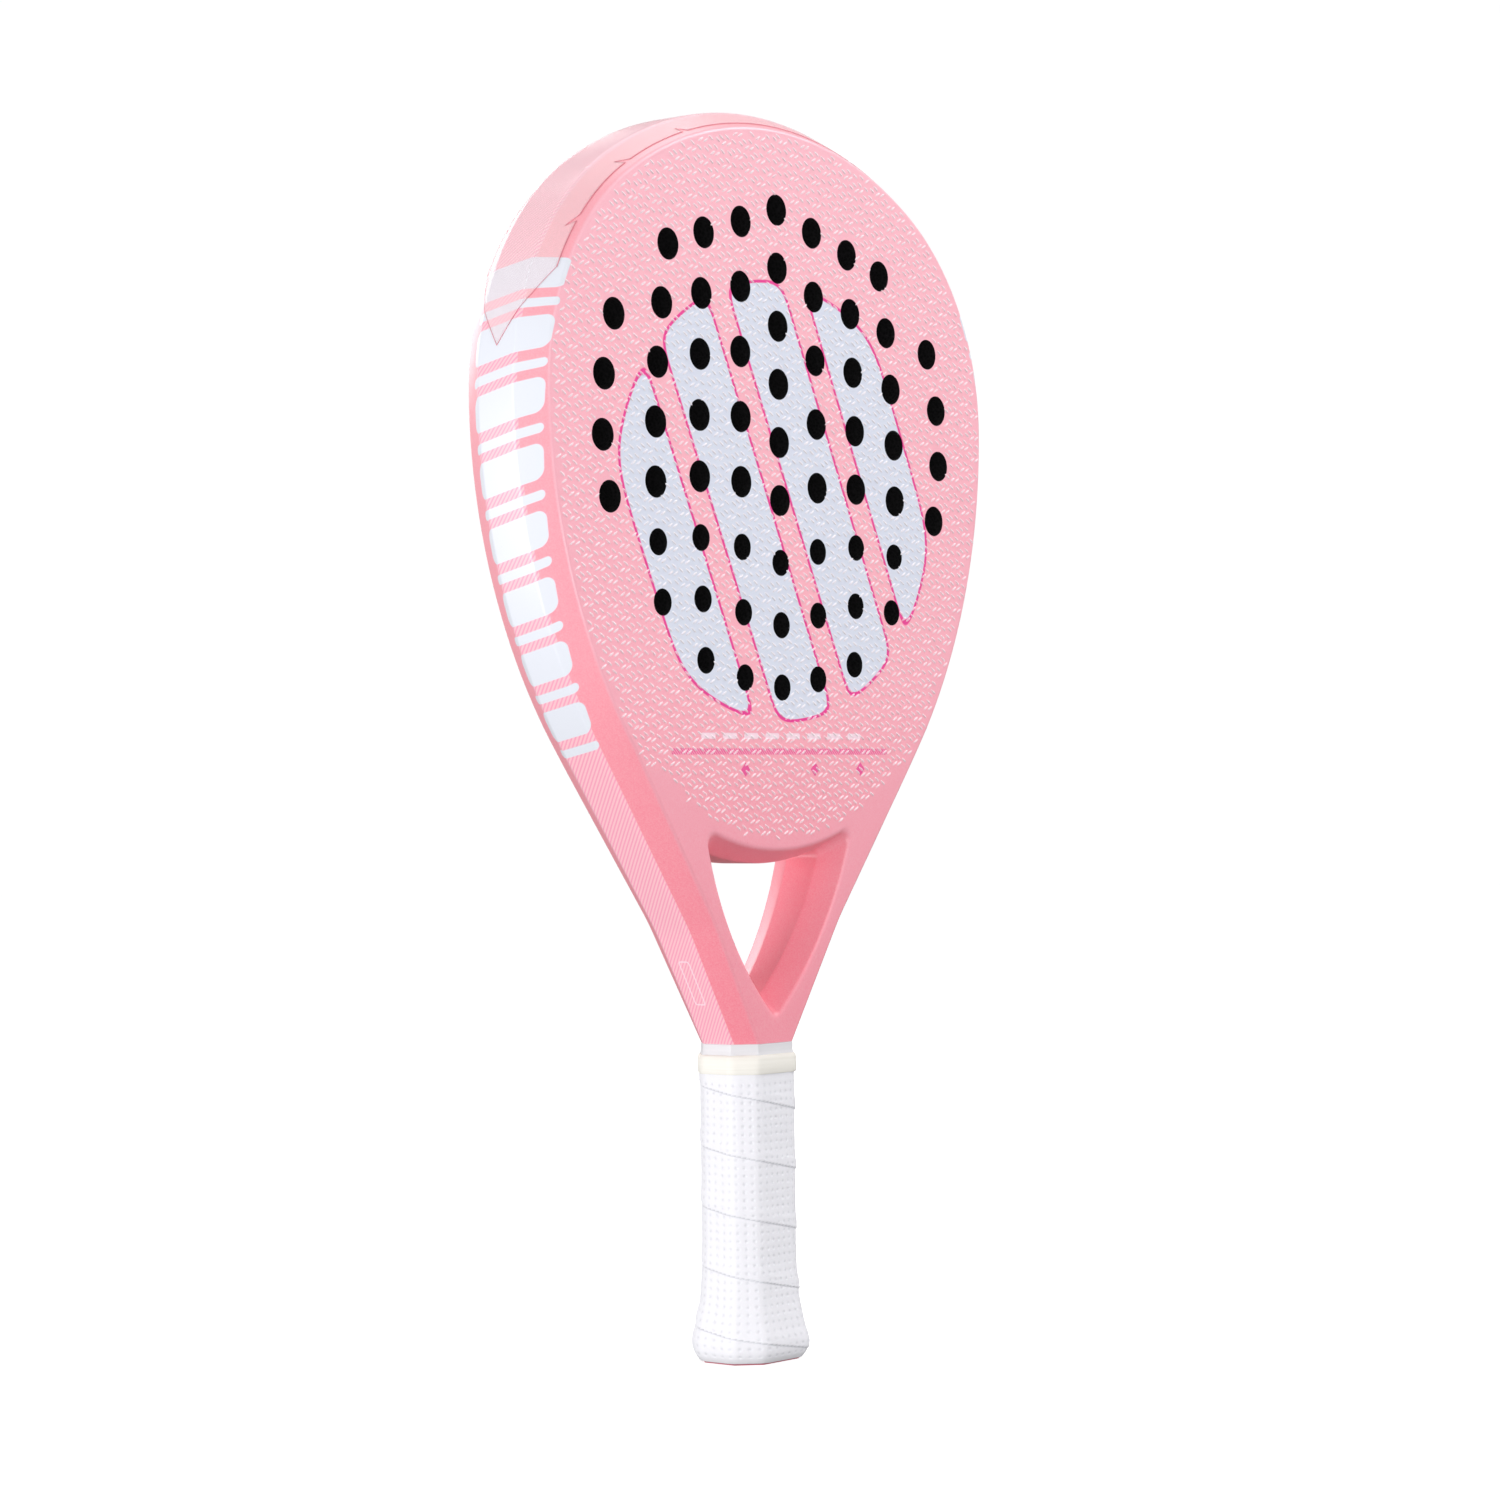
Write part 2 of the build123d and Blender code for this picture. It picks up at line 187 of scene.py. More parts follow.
def throat_loop(offset):
    """The throat opening's edge, offset inwards, as a closed loop from the top middle to the right."""
    corner = 3.6 - 0.2 * offset
    side, bridge = SIDE_CIRCLE - offset, BRIDGE_CIRCLE + offset
    right = np.array((-SIDE_CENTRE[0], SIDE_CENTRE[1]))
    top = np.array(BRIDGE_CENTRE)
    reach_side, reach_top = side - corner, bridge + corner
    gap = np.linalg.norm(top - right)
    along = (reach_side**2 - reach_top**2 + gap**2) / (2 * gap)
    across = math.sqrt(reach_side**2 - along**2)
    to_top = (top - right) / gap
    upper = right + to_top * along + np.array((to_top[1], -to_top[0])) * across
    lower = np.array((0.0, SIDE_CENTRE[1] - math.sqrt(reach_side**2 - SIDE_CENTRE[0] ** 2)))
    points = [(0.0, top[1] - bridge)]
    on_bridge = top + (upper - top) * bridge / reach_top
    on_side = right + (upper - right) * side / reach_side
    low_side = right + (lower - right) * side / reach_side
    points += arc(top, points[0], on_bridge, 20)
    points += arc(upper, on_bridge, on_side, 8)
    points += arc(right, on_side, low_side, 26)
    points += arc(lower, low_side, (0.0, lower[1] - corner), 6)
    right_half = np.array(points)
    return np.vstack([right_half, right_half[-2:0:-1] * (-1, 1)])


def face_loop():
    """The edge of a drilled face: the rim's flat, closed below by the arc over the bridge."""
    line = half_rim(FLAT_START)
    line = line[line[:, 1] > FACE_LOW_JOIN]
    end = line[-1]
    reach = math.atan2(end[0], BRIDGE_CENTRE[1] - end[1]) * 0.94
    low = [
        (FACE_ARC * math.sin(reach * k / 24), BRIDGE_CENTRE[1] - FACE_ARC * math.cos(reach * k / 24))
        for k in range(24, -1, -1)
    ]
    right = np.vstack([line, low])
    return np.vstack([right, right[-2:0:-1] * (-1, 1)])


def hole_places():
    """Every hole as (x, z, radius)."""
    holes = []
    for widest, middle, bow, low, pitch, count in HOLE_COLUMNS:
        for k in range(count):
            z = low + pitch * k
            x = widest - (z - middle) ** 2 / (2 * bow)
            for side in (1, -1) if widest else (1,):
                holes.append((side * x, z, SMALL_HOLE if z <= LARGE_FROM else LARGE_HOLE))
    return holes


def inside(points, loop):
    """Which points lie inside a closed loop."""
    x, z = points[:, 0][:, None], points[:, 1][:, None]
    a, b = loop, np.roll(loop, -1, axis=0)
    crosses = (a[:, 1] > z) != (b[:, 1] > z)
    rise = np.where(b[:, 1] == a[:, 1], 1e-12, b[:, 1] - a[:, 1])
    at = (b[:, 0] - a[:, 0]) * (z - a[:, 1]) / rise + a[:, 0]
    return (crosses & (x < at)).sum(axis=1) % 2 == 1


def clearance(points, loops):
    """How far each point is from the nearest loop point."""
    every = np.vstack(loops)
    return np.sqrt(((points[:, None, :] - every[None, :, :]) ** 2).sum(axis=2)).min(axis=1)


# ---------------------------------------------------------------- meshes


class Body:
    """Vertices in millimetres and faces, gathered before they become one mesh."""

    def __init__(self):
        self.points, self.faces, self.marks, self.wrap = [], [], [], []
        self.count = 0

    def add(self, points, wrap=None):
        """Adds points and returns the first one's number. wrap is each point's place along and across."""
        first = self.count
        points = np.asarray(points, float).reshape(-1, 3)
        self.points.append(points)
        if wrap is None:
            wrap = np.full((len(points), 2), 1000.0)
        self.wrap.append(np.asarray(wrap, float).reshape(-1, 2))
        self.count += len(points)
        return first

    def grid(self, rows, columns, first, closed=False, mark=0):
        """Quads over a grid of points, rows by columns. closed joins the last column to the first."""
        for r in range(rows - 1):
            for c in range(columns if closed else columns - 1):
                n = (c + 1) % columns
                a, b = first + r * columns, first + (r + 1) * columns
                self.faces.append((a + c, a + n, b + n, b + c))
                self.marks.append(mark)

    def strip(self, a, b, closed=False, mark=0):
        """Quads between two lines of point numbers."""
        count = len(a)
        for k in range(count if closed else count - 1):
            n = (k + 1) % count
            self.faces.append((a[k], a[n], b[n], b[k]))
            self.marks.append(mark)

    def sheet(self, outer, inner, lift, spacing=0.0, below=-1e9, mark=0):
        """Fills the flat between an outer loop and inner loops with triangles. lift gives y from z."""
        loops = [outer] + inner
        flat = np.vstack(loops)
        edges, start = [], 0
        for loop in loops:
            edges += [(start + k, start + (k + 1) % len(loop)) for k in range(len(loop))]
            start += len(loop)
        if spacing:
            low, high = outer.min(axis=0), outer.max(axis=0)
            xs = np.arange(low[0], high[0], spacing)
            zs = np.arange(low[1], min(high[1], below), spacing)
            net = np.array([(x, z) for z in zs for x in xs])
            net = net[inside(net, outer)]
            for loop in inner:
                net = net[~inside(net, loop)]
            net = net[clearance(net, loops) > spacing * 0.45]
            flat = np.vstack([flat, net])
        made = geometry.delaunay_2d_cdt([Vector(p) for p in flat], edges, [], 0, 1e-6)
        points = np.array([tuple(p) for p in made[0]])
        faces = np.array([tuple(f) for f in made[2]])
        middle = points[faces].mean(axis=1)
        keep = inside(middle, outer)
        for loop in inner:
            keep &= ~inside(middle, loop)
        first = self.add(np.column_stack([points[:, 0], lift(points[:, 1]), points[:, 1]]))
        for face in faces[keep]:
            self.faces.append(tuple(int(first + v) for v in face))
            self.marks.append(mark)

    def finish(self, name, materials, sharp=35.0, weld=0.002):
        """The mesh object: welded, faces outwards, smooth except at edges sharper than the angle."""
        mesh = bpy.data.meshes.new(name)
        mesh.from_pydata((np.vstack(self.points) * MM).tolist(), [], self.faces)
        for material in materials:
            mesh.materials.append(material)
        mesh.polygons.foreach_set("material_index", self.marks)
        wrap = np.vstack(self.wrap) * MM
        corners = np.empty(len(mesh.loops), int)
        mesh.loops.foreach_get("vertex_index", corners)
        mesh.uv_layers.new(name="wrap").data.foreach_set("uv", wrap[corners].ravel())
        made = bmesh.new()
        made.from_mesh(mesh)
        bmesh.ops.remove_doubles(made, verts=made.verts, dist=weld * MM)
        bmesh.ops.dissolve_degenerate(made, edges=made.edges, dist=1e-7)
        loose = [v for v in made.verts if not v.link_faces]
        bmesh.ops.delete(made, geom=loose, context="VERTS")
        bmesh.ops.recalc_face_normals(made, faces=made.faces)
        open_edges = sum(not e.is_manifold for e in made.edges)
        made.to_mesh(mesh)
        made.free()
        mesh.shade_smooth()
        mesh.set_sharp_from_angle(angle=math.radians(sharp))
        piece = bpy.data.objects.new(name, mesh)
        bpy.context.scene.collection.objects.link(piece)
        print(name, "faces", len(mesh.polygons), "open edges", open_edges)
        return piece


def shell_section():
    """The rim's section on the head as (inset, y), from the front flat round to the rear flat."""
    front = [(FLAT_START, -HALF), (BEVEL, -HALF), (0, -BAND_HALF)]
    corners = front + [(inset, -y) for inset, y in reversed(front)]
    return rounded(corners, (CREASE_ROUNDING, RIDGE_ROUNDING, RIDGE_ROUNDING, CREASE_ROUNDING), 6)


def throat_section():
    """The throat wall's section on the head as (offset, y), from front to back."""
    corners = [
        (-2.0, -HALF),
        (0.0, -HALF),
        (THROAT_BEVEL, -HALF + THROAT_DEPTH),
        (THROAT_BEVEL, HALF - THROAT_DEPTH),
        (0.0, HALF),
        (-2.0, HALF),
    ]
    return rounded(corners, (2.2, 4.0, 4.0, 2.2), 5)


def throat_middle(z):
    return face_half(z) - THROAT_DEPTH


def frame_shell(paint):
    """The painted frame in one skin: rim, arms, throat and bridge."""
    body = Body()
    section = shell_section()
    across = travel(section) - travel(section)[-1] / 2
    along = travel(whole(half_rim(0.0)))
    along -= along[-1] / 2
    points, wrap = [], []
    for (inset, y), v in zip(section, across):
        line = whole(half_rim(inset))
        deep = section_y(y, line[:, 1], BAND_HALF, band_half)
        points.append(np.column_stack([line[:, 0], deep, line[:, 1]]))
        wrap.append(np.column_stack([along, np.full(len(along), v)]))
    columns = len(along)
    first = body.add(np.vstack(points), np.vstack(wrap))
    body.grid(len(section), columns, first)
    for end in (0, columns - 1):
        body.faces.append(tuple(first + r * columns + end for r in range(len(section))))
        body.marks.append(0)
    feet = [points[0][0], points[0][-1], points[-1][-1], points[-1][0]]
    corner = body.add(feet)
    body.faces.append((corner, corner + 1, corner + 2, corner + 3))
    body.marks.append(0)

    loops = []
    for offset, y in throat_section():
        loop = throat_loop(offset)
        deep = section_y(y, loop[:, 1], HALF - THROAT_DEPTH, throat_middle)
        loops.append(np.column_stack([loop[:, 0], deep, loop[:, 1]]))
    count = len(loops[0])
    first = body.add(np.vstack(loops))
    body.grid(len(loops), count, first, closed=True)

    outer, throat, face = whole(half_rim(FLAT_START)), throat_loop(-2.0), face_loop()
    for side in (-1, 1):
        body.sheet(outer, [throat, face], lambda z: side * face_half(z), spacing=5.0, below=TAPER_TOP + 16)
    rims = []
    for side in (-1, 1):
        rims.append(body.add(np.column_stack([face[:, 0], side * face_half(face[:, 1]), face[:, 1]])))
    ring = np.arange(len(face))
    body.strip(rims[0] + ring, rims[1] + ring, closed=True)
    return body.finish("frame_shell", [paint], sharp=50)


def hole_loop(x, z, radius, corners=32):
    turn = np.arange(corners) * 2 * math.pi / corners
    return np.column_stack([x + radius * np.cos(turn), z + radius * np.sin(turn)])


def face_plate(name, side, paint, black):
    """A drilled face. Its holes are black right up to the surface."""
    body = Body()
    loop = face_loop()
    holes = [hole_loop(*hole) for hole in hole_places()]
    for depth in (0.0, FACE_SKIN):
        body.sheet(
            loop,
            holes,
            lambda z: side * (face_half(z) - depth),
            spacing=5.0 if depth == 0 else 0.0,
            below=TAPER_TOP + 16,
            mark=0 if depth == 0 else 1,
        )
    for edge, mark in [(loop, 0)] + [(hole, 1) for hole in holes]:
        rims = []
        for depth in (0.0, FACE_SKIN):
            y = side * (face_half(edge[:, 1]) - depth)
            rims.append(body.add(np.column_stack([edge[:, 0], y, edge[:, 1]])))
        ring = np.arange(len(edge))
        body.strip(rims[0] + ring, rims[1] + ring, closed=True, mark=mark)
    return body.finish(name, [paint, black], sharp=30)


def plain_mesh(modified, name):
    """The evaluated result of a modified object, as a plain piece of its own."""
    depsgraph = bpy.context.evaluated_depsgraph_get()
    mesh = bpy.data.meshes.new_from_object(modified.evaluated_get(depsgraph))
    mesh.name = name
    bpy.data.objects.remove(modified)
    piece = bpy.data.objects.new(name, mesh)
    bpy.context.scene.collection.objects.link(piece)
    return piece


def dash_tree(paint):
    """Geometry nodes that put one raised dash on each point, turned by the point's own turn."""
    tree = bpy.data.node_groups.new("raised_dashes", "GeometryNodeTree")
    tree.interface.new_socket("Geometry", in_out="INPUT", socket_type="NodeSocketGeometry")
    sizes = {}
    for label in ("Length", "Width", "Height", "Crest"):
        sizes[label] = tree.interface.new_socket(label, in_out="INPUT", socket_type="NodeSocketFloat")
    tree.interface.new_socket("Geometry", in_out="OUTPUT", socket_type="NodeSocketGeometry")
    node, link = tree.nodes.new, tree.links.new
    given, made = node("NodeGroupInput"), node("NodeGroupOutput")
    cone = node("GeometryNodeMeshCone")
    cone.fill_type = "NGON"
    cone.inputs["Vertices"].default_value = 8
    cone.inputs["Radius Bottom"].default_value = 0.5
    cone.inputs["Depth"].default_value = 1.0
    link(given.outputs["Crest"], cone.inputs["Radius Top"])
    size = node("ShaderNodeCombineXYZ")
    link(given.outputs["Length"], size.inputs["X"])
    link(given.outputs["Width"], size.inputs["Y"])
    link(given.outputs["Height"], size.inputs["Z"])
    turn = node("GeometryNodeInputNamedAttribute")
    turn.data_type = "FLOAT_VECTOR"
    turn.inputs["Name"].default_value = "turn"
    rotation = node("FunctionNodeEulerToRotation")
    link(turn.outputs["Attribute"], rotation.inputs["Euler"])
    place = node("GeometryNodeInstanceOnPoints")
    link(given.outputs["Geometry"], place.inputs["Points"])
    link(cone.outputs["Mesh"], place.inputs["Instance"])
    link(rotation.outputs["Rotation"], place.inputs["Rotation"])
    link(size.outputs["Vector"], place.inputs["Scale"])
    real, finish = node("GeometryNodeRealizeInstances"), node("GeometryNodeSetMaterial")
    finish.inputs["Material"].default_value = paint
    link(place.outputs["Instances"], real.inputs["Geometry"])
    link(real.outputs["Geometry"], finish.inputs["Geometry"])
    link(finish.outputs["Geometry"], made.inputs["Geometry"])
    return tree, sizes


DASH_PERIOD, DASH_ROW = 12.86, 4.2  # each row is half a period along from the row below
DASH_ORIGIN = (-2.2, 188.2)
DASH_LENGTH, DASH_WIDTH, DASH_HEIGHT, DASH_SUNK = 3.5, 1.0, 0.4, 0.08
FALLING_DASHES = ((-2.2, -3.0), (1.7, -3.15), (3.7, -2.1), (6.95, -1.75))  # leaning like a backslash
RISING_DASHES = ((-1.35, 0.05), (1.35, -0.05))  # leaning like a slash
FALLING_LEAN, RISING_LEAN = -32.0, 30.0
DASH_HOLE_GAP, DASH_EDGE_GAP = 0.9, 0.8


def dash_places():
    """Every raised dash of a face as (x, z, lean), by the lattice's rule, clear of the holes."""
    lattice = []
    for row in range(-2, 68):
        for column in range(-12, 13):
            x = DASH_ORIGIN[0] + (column + row % 2 / 2) * DASH_PERIOD
            z = DASH_ORIGIN[1] + row * DASH_ROW
            lattice += [(x + dx, z + dz, FALLING_LEAN) for dx, dz in FALLING_DASHES]
            lattice += [(x + dx, z + dz, RISING_LEAN) for dx, dz in RISING_DASHES]
    lattice = np.array(lattice)
    loop = face_loop()
    lattice = lattice[inside(lattice[:, :2], loop)]
    holes = np.array(hole_places())
    gaps = np.hypot(lattice[:, :1] - holes[:, 0], lattice[:, 1:2] - holes[:, 1]) - holes[:, 2]
    lattice = lattice[gaps.min(axis=1) > DASH_HOLE_GAP]
    dense = np.vstack([loop + (np.roll(loop, -1, axis=0) - loop) * k / 4 for k in range(4)])
    return lattice[clearance(lattice[:, :2], [dense]) > DASH_EDGE_GAP]


def raised_dashes(name, side, paint):
    """The moulded grain of a face: rows of small raised dashes."""
    places = dash_places()
    mesh = bpy.data.meshes.new(name)
    lift = face_half(places[:, 1]) - DASH_SUNK
    mesh.from_pydata((np.column_stack([places[:, 0], side * lift, places[:, 1]]) * MM).tolist(), [], [])
    turns = []
    for z, lean in places[:, 1:]:
        slope = (face_half(z + 0.5) - face_half(z - 0.5)) * side
        up = Vector((0, slope, 1)).normalized()
        across = Vector((side * -1.0, 0, 0))
        out = across.cross(up)
        along = across * math.cos(math.radians(lean)) * -side + up * math.sin(math.radians(lean))
        turns += list(Matrix((along, out.cross(along), out)).transposed().to_euler())
    mesh.attributes.new("turn", "FLOAT_VECTOR", "POINT").data.foreach_set("vector", turns)
    points = bpy.data.objects.new(name + "_points", mesh)
    bpy.context.scene.collection.objects.link(points)
    tree, sizes = dash_tree(paint)
    modifier = points.modifiers.new("dashes", "NODES")
    modifier.node_group = tree
    for label, size in (
        ("Length", DASH_LENGTH * MM),
        ("Width", DASH_WIDTH * MM),
        ("Height", DASH_HEIGHT * MM),
        ("Crest", 0.3),
    ):
        modifier[sizes[label].identifier] = size
    piece = plain_mesh(points, name)
    piece.data.shade_smooth()
    piece.data.set_sharp_from_angle(angle=math.radians(75))
    print(name, "dashes", len(places), "faces", len(piece.data.polygons))
    return piece


def octagon(width, rounding, columns):
    """A grip section with rounded corners, as evenly spaced points from the front middle."""
    depth = width - 6.3
    leg = 7.2 + 0.293 * (width - 33.9)
    x, y = width / 2, depth / 2
    corners = [(0, -y), (x - leg, -y), (x, -y + leg), (x, y - leg), (x - leg, y)]
    corners += [(-(x - leg), y), (-x, y - leg), (-x, -y + leg), (-(x - leg), -y), (0, -y)]
    line = rounded(corners, [rounding] * 8, 6)
    length = travel(line)
    at = np.arange(columns) / columns * length[-1]
    return np.column_stack([np.interp(at, length, line[:, 0]), np.interp(at, length, line[:, 1])])


def turned(name, levels, columns, material, sharp=40.0):
    """A piece whose sections are octagons: levels are (z, width, rounding)."""
    body = Body()
    rows = []
    for z, width, rounding in levels:
        ring = octagon(width, rounding, columns)
        rows.append(np.column_stack([ring, np.full(columns, z)]))
    first = body.add(np.vstack(rows))
    body.grid(len(rows), columns, first, closed=True)
    body.faces.append(tuple(range(first, first + columns)))
    last = first + (len(rows) - 1) * columns
    body.faces.append(tuple(range(last, last + columns)))
    body.marks += [0, 0]
    return body.finish(name, [material], sharp=sharp)


WRAP_COLUMNS, PIT_STEPS = 288, 8
PIT_ROW = 2.9
LAP_THICKNESS = 0.36


def grip_width(z):
    """How wide the grip is at height z: straight above, swelling smoothly over the butt."""
    knots = np.array(GRIP_FLARE)
    fine = np.arange(-12, 160, 0.25)
    reach = np.interp(fine, knots[:, 0], knots[:, 1])
    smooth = np.convolve(reach, np.hanning(15) / np.hanning(15).sum(), "same")
    return np.interp(z, fine, smooth)


def grip_wrap(material):
    """The perforated overgrip: a tape wound in overlapping laps, flaring over the butt."""
    step = PIT_ROW / PIT_STEPS
    rows = int((GRIP_TOP - GRIP_LOW) / step)
    z = GRIP_LOW + (GRIP_TOP - GRIP_LOW) * np.arange(rows + 1) / rows
    width = grip_width(z)
    body = Body()
    column = np.arange(WRAP_COLUMNS)
    points, edges, pits = [], [], []
    for j in range(rows + 1):
        ring = octagon(width[j], 7.0, WRAP_COLUMNS)
        ahead, behind = np.roll(ring, -1, axis=0), np.roll(ring, 1, axis=0)
        along = ahead - behind
        out = np.column_stack([along[:, 1], -along[:, 0]]) / np.linalg.norm(along, axis=1)[:, None]
        wound = (z[j] - LAP_PHASE) / LAP_PITCH + ((column / WRAP_COLUMNS + 0.25) % 1.0)
        lap = np.floor(wound)
        up = (wound - lap) * LAP_PITCH
        raised = LAP_THICKNESS * np.clip(1 - (up - 3.0) / 5.0, 0, 1) ** 2
        raised = np.where(up < 3.0, LAP_THICKNESS, raised)
        groove = np.exp(-((LAP_PITCH - up) / 0.45) ** 2)
        seam = np.minimum(up, LAP_PITCH - up)
        shift = (lap * 3).astype(int)
        dx = (column + shift * 3 + PIT_STEPS // 2) % PIT_STEPS - PIT_STEPS // 2
        dz = (j + shift * 5 + PIT_STEPS // 2) % PIT_STEPS - PIT_STEPS // 2
        away = np.hypot(dx * 0.39, dz * step)
        pit = np.exp(-((away / 0.5) ** 2)) * (seam > 0.8) * (3.0 < z[j] < GRIP_TOP - 1.5)
        offset = raised - 0.15 * groove - 0.36 * pit
        ring = ring + out * offset[:, None]
        points.append(np.column_stack([ring, np.full(WRAP_COLUMNS, z[j])]))
        # The map's two masks tint the tape: a painted shadow just under each lap's raised edge, and
        # painted shade in the pits.
        edges.append(np.clip(1 - seam / 0.55, 0, 1) * (up > LAP_PITCH / 2))
        pits.append(pit)
    marks = np.column_stack([np.concatenate(edges), np.concatenate(pits)])
    first = body.add(np.vstack(points), marks / MM)
    body.grid(rows + 1, WRAP_COLUMNS, first, closed=True)
    inner = []
    for at in (rows, rows // 2, 0):
        ring = octagon(width[at] - 3.2, 7.0, WRAP_COLUMNS)
        inner.append(np.column_stack([ring, np.full(WRAP_COLUMNS, z[at])]))
    inside_first = body.add(np.vstack(inner), np.zeros((3 * WRAP_COLUMNS, 2)))
    body.grid(3, WRAP_COLUMNS, inside_first, closed=True)
    body.strip(first + rows * WRAP_COLUMNS + column, inside_first + column, closed=True)
    body.strip(first + column, inside_first + 2 * WRAP_COLUMNS + column, closed=True)
    return body.finish("grip_wrap", [material], sharp=70)


FILM_GAP, FILM_THICK, FILM_LINE = 0.04, 0.22, 0.32
FILM_LOW_BAND, FILM_LOW_CREASE = 361.0, 388.0
FILM_EDGE = 17.6
NOTCHES = (46.4, 79.5, 113.0)  # places along the rim, from the crown
NOTCH_HALF_WIDTH, NOTCH_DEPTH = 1.3, 3.4


def rim_film(material, edge_shade_material):
    """The clear guard tape over the crown, with notched edges and slanting ends; its border faces take the
    second material, a painted shade line along the cut edge.
    """
    corners = shell_section()
    length = travel(corners)
    across = np.linspace(0, length[-1], 89)
    section = np.column_stack([np.interp(across, length, corners[:, k]) for k in range(2)])
    across -= length[-1] / 2
    heights = np.linspace(-1, 1, 41)
    heights = np.sort(np.append(heights, [FILM_LINE / FILM_EDGE - 1, 1 - FILM_LINE / FILM_EDGE]))
    shares = np.linspace(-1, 1, 421)
    shares = np.sort(np.append(shares, [-0.9984, 0.9984]))
    rows, columns = len(heights), len(shares)
    layers = []
    for lift in (FILM_GAP + FILM_THICK, FILM_GAP):
        lines, ends = [], []
        ahead = np.gradient(section, axis=0)
        out = np.column_stack([ahead[:, 1], -ahead[:, 0]]) / np.linalg.norm(ahead, axis=1)[:, None]
        if out[len(out) // 2, 0] > 0:
            out = -out
        moved = section + out * lift
        for (inset, y), v in zip(moved, across):
            line = whole(half_rim(inset))
            length = travel(line)
            length -= length[-1] / 2
            low = FILM_LOW_BAND + (FILM_LOW_CREASE - FILM_LOW_BAND) * min(1.0, abs(v) / FILM_EDGE)
            right = line[:, 0] >= 0
            ends.append(np.interp(-low, -line[right, 1], length[right]))
            lines.append((line, length, y))
        points = np.empty((rows, columns, 3))
        for c, share in enumerate(shares):
            u = share * ends[0]
            notch = max(max(0.0, 1 - abs(abs(u) - at) / NOTCH_HALF_WIDTH) for at in NOTCHES)
            edge = FILM_EDGE - NOTCH_DEPTH * notch
            spot = []
            for (line, length, y), end in zip(lines, ends):
                at = share * end
                spot.append((np.interp(at, length, line[:, 0]), y, np.interp(at, length, line[:, 1])))
            spot = np.array(spot)
            for k in range(3):
                points[:, c, k] = np.interp(edge * heights, across, spot[:, k])
        layers.append(points)
    body = Body()
    firsts = [body.add(layer) for layer in layers]
    grid = np.arange(rows * columns).reshape(rows, columns)
    for first in firsts:
        for r in range(rows - 1):
            for c in range(columns - 1):
                a = first + r * columns + c
                body.faces.append((a, a + 1, a + 1 + columns, a + columns))
                # The outermost faces and the cut side take the edge material: a painted shade line along
                # the film's edge.
                body.marks.append(int(r in (0, rows - 2) or c in (0, columns - 2)))
    border = np.concatenate([grid[0, :-1], grid[:-1, -1], grid[-1, :0:-1], grid[:0:-1, 0]])
    body.strip(firsts[0] + border, firsts[1] + border, closed=True, mark=1)
    return body.finish("rim_film", [material, edge_shade_material], sharp=50, weld=0.0005)


# ---------------------------------------------------------------- materials


class Wire:
    """A number that runs through a material's nodes, with ordinary arithmetic on it."""

    def __init__(self, tree, socket):
        self.tree, self.socket = tree, socket

    def math(self, kind, *others):
        node = self.tree.nodes.new("ShaderNodeMath")
        node.operation = kind
        for slot, value in zip(node.inputs, (self,) + others):
            if isinstance(value, Wire):
                self.tree.links.new(value.socket, slot)
            else:
                slot.default_value = value
        return Wire(self.tree, node.outputs[0])

    def __add__(self, other):
        return self.math("ADD", other)

    def __sub__(self, other):
        return self.math("SUBTRACT", other)

    def __mul__(self, other):
        return self.math("MULTIPLY", other)

    def __neg__(self):
        return self.math("MULTIPLY", -1.0)

    def __abs__(self):
        return self.math("ABSOLUTE")

    def below(self, edge, softness):
        """1 where the number is under the edge, 0 where it is over, with a soft change between."""
        node = self.tree.nodes.new("ShaderNodeMapRange")
        node.inputs["From Min"].default_value = edge - softness
        node.inputs["From Max"].default_value = edge + softness
        node.inputs["To Min"].default_value = 1.0
        node.inputs["To Max"].default_value = 0.0
        self.tree.links.new(self.socket, node.inputs["Value"])
        return Wire(self.tree, node.outputs["Result"])


def largest(a, b):
    return a.math("MAXIMUM", b)


def smallest(a, b):
    return a.math("MINIMUM", b)


def rounded_box(x, y, half_x, half_y, corner):
    """The distance to a rounded box about the origin: negative inside."""
    over_x, over_y = abs(x) - (half_x - corner), abs(y) - (half_y - corner)
    far_x, far_y = largest(over_x, 0.0), largest(over_y, 0.0)
    outside = (far_x * far_x + far_y * far_y).math("SQRT")
    return outside + smallest(largest(over_x, over_y), 0.0) - corner


def srgb(red, green, blue):
    """A colour from 0 to 255 as linear light, with its alpha."""
    shares = (red / 255, green / 255, blue / 255)
    return tuple(c / 12.92 if c <= 0.04 else ((c + 0.055) / 1.055) ** 2.4 for c in shares) + (1.0,)


def new_material(name, **settings):
    """A material whose shader has these plain settings, as (material, tree, shader)."""
    material = bpy.data.materials.new(name)
    material.use_nodes = True
    tree = material.node_tree
    shader = next(n for n in tree.nodes if n.type == "BSDF_PRINCIPLED")
    for label, value in settings.items():
        shader.inputs[label.replace("_", " ")].default_value = value
    return material, tree, shader


def mix(tree, share, low, high):
    """A colour between low and high; each is a colour or a socket."""
    node = tree.nodes.new("ShaderNodeMix")
    node.data_type = "RGBA"
    factor, a, b = node.inputs["Factor"], node.inputs[6], node.inputs[7]
    if isinstance(share, Wire):
        share = share.socket
    for slot, value in ((factor, share), (a, low), (b, high)):
        if isinstance(value, bpy.types.NodeSocket):
            tree.links.new(value, slot)
        else:
            slot.default_value = value
    return node.outputs[2]


def object_place(tree, scale=1000.0):
    """The object's own coordinates as three wires, in millimetres."""
    source = tree.nodes.new("ShaderNodeTexCoord")
    split = tree.nodes.new("ShaderNodeSeparateXYZ")
    tree.links.new(source.outputs["Object"], split.inputs["Vector"])
    return [Wire(tree, split.outputs[axis]) * scale for axis in "XYZ"]


